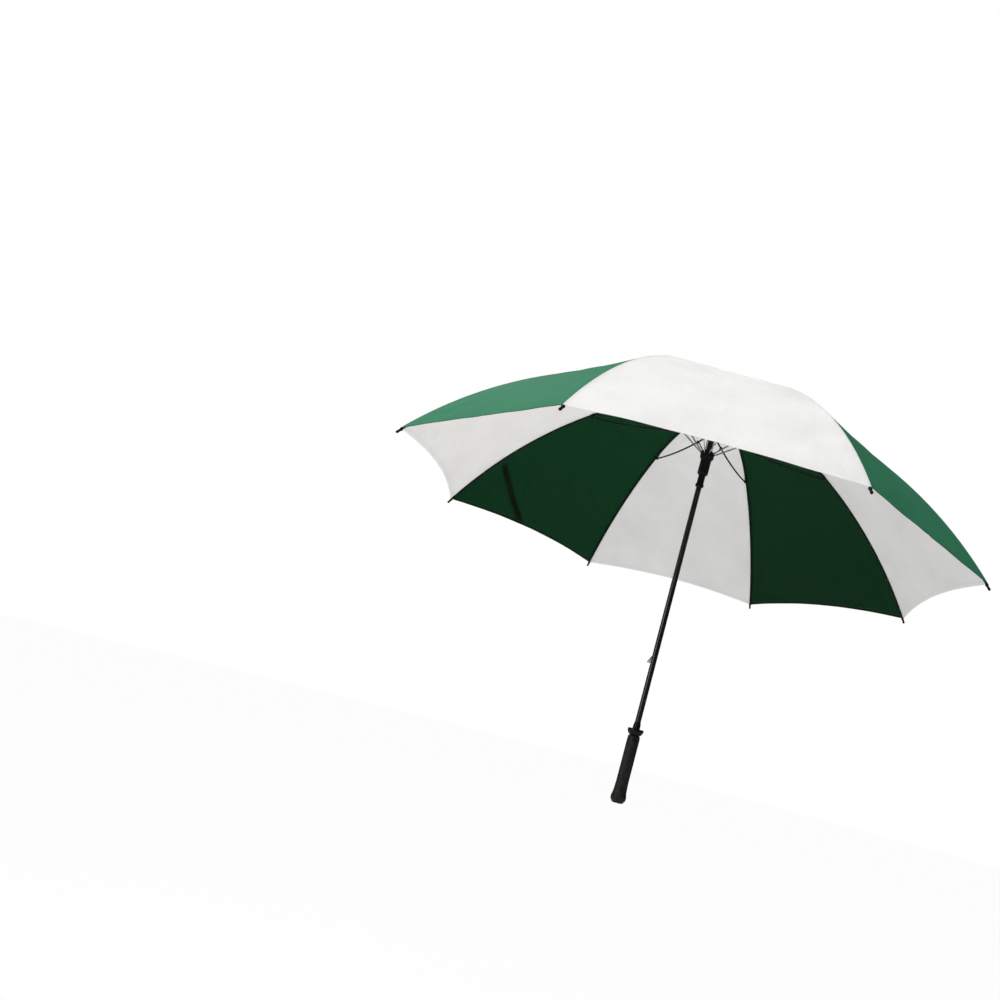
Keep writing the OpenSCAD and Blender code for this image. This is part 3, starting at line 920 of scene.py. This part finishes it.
def spring():
    low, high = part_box("opening_spring")
    start, end = low.z + SPRING_WIRE, high.z - SPRING_WIRE
    steps = 36
    points = []
    for i in range(SPRING_TURNS * steps + 1):
        turn = i / steps
        points.append(outward(math.tau * turn) * SPRING_COIL + UP * spring_height(turn, start, end))
    piece = tube("coil_spring", points, SPRING_WIRE, MATERIAL["spring"], 10)
    carried(piece, "runner", "bare_steel", "opening_spring")
    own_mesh(piece)


def placed(piece, place, along):
    """Move a body that was turned about +Z so that its base is at place and its axis lies along."""
    turn = along.to_track_quat("Z", "Y").to_matrix().to_4x4()
    piece.data.transform(Matrix.Translation(place) @ turn)


def rib_tip(k):
    """The moulded cap at a rib's end, with a collar that the corner of the cloth is sewn to."""
    outline = [
        (0.00175, -0.0022), (0.0024, -0.0021, 0.0004), (0.00335, -0.0010, 0.0005),
        (0.00335, 0.0009, 0.0005), (0.00255, 0.0018, 0.0006), (0.00245, 0.0068, 0.002),
        (0.00275, 0.0082, 0.0006), (0.00275, 0.0104, 0.0014), (0.0014, 0.0121, 0.0008),
        (0, 0.0121),
    ]
    azimuth = rib_azimuth(k)
    start = in_plane(azimuth, rib_point(RIB_LENGTH - TIP_LENGTH, 0))
    end = in_plane(azimuth, rib_point(RIB_LENGTH, 0))
    cap = lathe(f"rib_tip_{k}", outline, MATERIAL["plastic"], 32)
    placed(cap, start, end - start)
    carried(cap, f"rib_end_{k}", "black_plastic")


TIES = {"rib": (0.11, 0.215), "rib_end": (0.43, 0.54, 0.64)}      # lengths down the rib
TIE_THREAD = 0.0004
TIE_ROWS, TIE_SIDES = 20, 6


def thread_loop(azimuth, s):
    """Points of one loop round the rod and the seam above it, row by row."""
    width, low, high = ROD + TIE_THREAD, -ROD - TIE_THREAD, CLOTH_OFF
    ahead = in_plane(azimuth, rib_point(s + 0.001, 0)) - in_plane(azimuth, rib_point(s, 0))
    ahead.normalize()
    beside = sideways(azimuth)
    above = -ahead.cross(beside)
    turns = [math.tau * j / TIE_SIDES for j in range(TIE_SIDES)]
    points = []
    for i in range(TIE_ROWS):
        angle = math.tau * i / TIE_ROWS
        off = (low + high) / 2 + (high - low) / 2 * math.sin(angle)
        spoke = beside * math.cos(angle) + above * math.sin(angle)
        centre = in_plane(azimuth, rib_point(s, off)) + beside * width * math.cos(angle)
        points += [centre + (spoke * math.cos(a) + ahead * math.sin(a)) * TIE_THREAD for a in turns]
    return points


def loop_faces(first):
    """Faces of one loop whose points start at number first."""
    faces = []
    for i in range(TIE_ROWS):
        for j in range(TIE_SIDES):
            here, there = i * TIE_SIDES, (i + 1) % TIE_ROWS * TIE_SIDES
            k = (j + 1) % TIE_SIDES
            faces.append([first + n for n in (here + j, here + k, there + k, there + j)])
    return faces


def rib_ties(k, body):
    """Loops of thread that tie the seam to the rib, three turns to a tie."""
    points, faces = [], []
    for s in TIES[body]:
        for turn in (-1, 0, 1):
            faces += loop_faces(len(points))
            points += thread_loop(rib_azimuth(k), s + 0.0011 * turn)
    mesh = bpy.data.meshes.new("ties")
    mesh.from_pydata(points, [], faces)
    smooth(mesh, 1.2)
    ties = new_object(f"{body}_ties_{k}", mesh, [MATERIAL["green_thread"]])
    carried(ties, f"{body}_{k}", "green_fabric")


def hardware():
    spring()
    dressed("runner", "runner_body", 0.00035, MATERIAL["plastic"])
    dressed("stretcher_crown", "crown_body", 0.0003, MATERIAL["plastic"])
    dressed("top_notch", "notch_body", 0.0003, MATERIAL["plastic"])
    dressed("catch", "catch_lever", 0.0003, MATERIAL["steel"])
    repaint("shaft_tube", "shaft")
    for wire in ("notch_wire", "runner_wire", "crown_wire", "catch_pin"):
        repaint(wire, "steel")
    for k in range(1, RIBS + 1):
        rib_tip(k)
        rib_ties(k, "rib")
        rib_ties(k, "rib_end")
        repaint(f"rib_inner_{k}", "rod")
        repaint(f"rib_outer_{k}", "rod")
        repaint(f"stretcher_{k}", "rod")
        repaint(f"strut_{k}", "steel")


# ---- Stage ----

RIM_HEIGHT = 0.588      # height of the point on the shaft's axis that the camera faces
VIEW_AZIMUTH = math.radians(-91.15)
VIEW_ELEVATION = math.radians(-14.13)
VIEW_DISTANCE = 1.8495
VIEW_ROLL = math.radians(14.59)


def camera():
    data = bpy.data.cameras.new("camera")
    data.sensor_width = 36
    data.lens = 29.4
    data.shift_x = -0.1856
    data.shift_y = 0.0386
    data.clip_start = 0.05
    data.clip_end = 60
    made = bpy.data.objects.new("camera", data)
    bpy.context.scene.collection.objects.link(made)
    back = outward(VIEW_AZIMUTH) * math.cos(VIEW_ELEVATION) + UP * math.sin(VIEW_ELEVATION)
    right = Matrix.Rotation(VIEW_ROLL, 3, back) @ UP.cross(back).normalized()
    turn = Matrix((right, back.cross(right), back)).transposed().to_4x4()
    place = UP * RIM_HEIGHT + back * VIEW_DISTANCE
    made.matrix_world = Matrix.Translation(place) @ turn
    bpy.context.scene.camera = made


def area_light(name, place, target, size, power):
    data = bpy.data.lights.new(name, "AREA")
    data.shape = "RECTANGLE"
    data.size, data.size_y = size
    data.energy = power
    made = bpy.data.objects.new(name, data)
    made.location = place
    made.rotation_euler = (Vector(target) - Vector(place)).to_track_quat("-Z", "Y").to_euler()
    bpy.context.scene.collection.objects.link(made)


SKY_SEEN = ((1, 1, 1, 1), 1.0)               # colour and strength for each kind of ray
SKY_LIGHT = ((0.97, 0.98, 1, 1), 0.77)
SKY_REFLECTED = ((0.97, 0.98, 1, 1), 0.08)


def world():
    """A white surround, which lights the object more softly and reflects in it darker."""
    made = bpy.data.worlds.new("studio")
    bpy.context.scene.world = made
    made.use_nodes = True
    tree = made.node_tree
    tree.nodes.remove(tree.nodes["Background"])
    path = tree.nodes.new("ShaderNodeLightPath")

    def background(colour, strength):
        sky = tree.nodes.new("ShaderNodeBackground")
        sky.inputs["Color"].default_value = colour
        sky.inputs["Strength"].default_value = strength
        return sky.outputs["Background"]

    def choose(ray, otherwise, chosen):
        mix = tree.nodes.new("ShaderNodeMixShader")
        tree.links.new(path.outputs[ray], mix.inputs["Fac"])
        tree.links.new(otherwise, mix.inputs[1])
        tree.links.new(chosen, mix.inputs[2])
        return mix.outputs["Shader"]

    unseen = choose("Is Glossy Ray", background(*SKY_LIGHT), background(*SKY_REFLECTED))
    whole = choose("Is Camera Ray", unseen, background(*SKY_SEEN))
    tree.links.new(whole, tree.nodes["World Output"].inputs["Surface"])


FLOOR_Z = -1.0
FLOOR_GLOW = 0.95       # share of a plain white glow in the floor that the camera sees


def pale_floor():
    material = bpy.data.materials.new("pale_floor")
    material.use_nodes = True
    tree = material.node_tree
    shader = tree.nodes["Principled BSDF"]
    shader.inputs["Base Color"].default_value = (0.8, 0.8, 0.8, 1)
    shader.inputs["Roughness"].default_value = 0.9
    glow = tree.nodes.new("ShaderNodeEmission")
    path = tree.nodes.new("ShaderNodeLightPath")
    share = tree.nodes.new("ShaderNodeMath")
    share.operation = "MULTIPLY"
    share.inputs[1].default_value = FLOOR_GLOW
    mix = tree.nodes.new("ShaderNodeMixShader")
    tree.links.new(path.outputs["Is Camera Ray"], share.inputs[0])
    tree.links.new(share.outputs["Value"], mix.inputs["Fac"])
    tree.links.new(shader.outputs["BSDF"], mix.inputs[1])
    tree.links.new(glow.outputs["Emission"], mix.inputs[2])
    tree.links.new(mix.outputs["Shader"], tree.nodes["Material Output"].inputs["Surface"])
    return material


def floor():
    made = bmesh.new()
    bmesh.ops.create_circle(made, cap_ends=True, radius=30, segments=96)
    mesh = bpy.data.meshes.new("floor")
    made.to_mesh(mesh)
    made.free()
    plate = new_object("floor", mesh, [pale_floor()])
    plate.location.z = FLOOR_Z


def lights():
    middle = (0, 0, 0.6)
    area_light("key", (-2.3, -2.0, 1.0), (0, 0, 0.45), (0.8, 1.7), 48)
    area_light("over", (-0.5, -1.5, 3.1), middle, (2.4, 2.4), 46)
    area_light("rim", (-2.0, 1.9, 2.2), middle, (2.0, 2.0), 27)


canopy()
tie_strap()
handle()
tip_cup()
ferrule()
hardware()
camera()
world()
floor()
lights()
bpy.context.scene.view_settings.view_transform = "Standard"
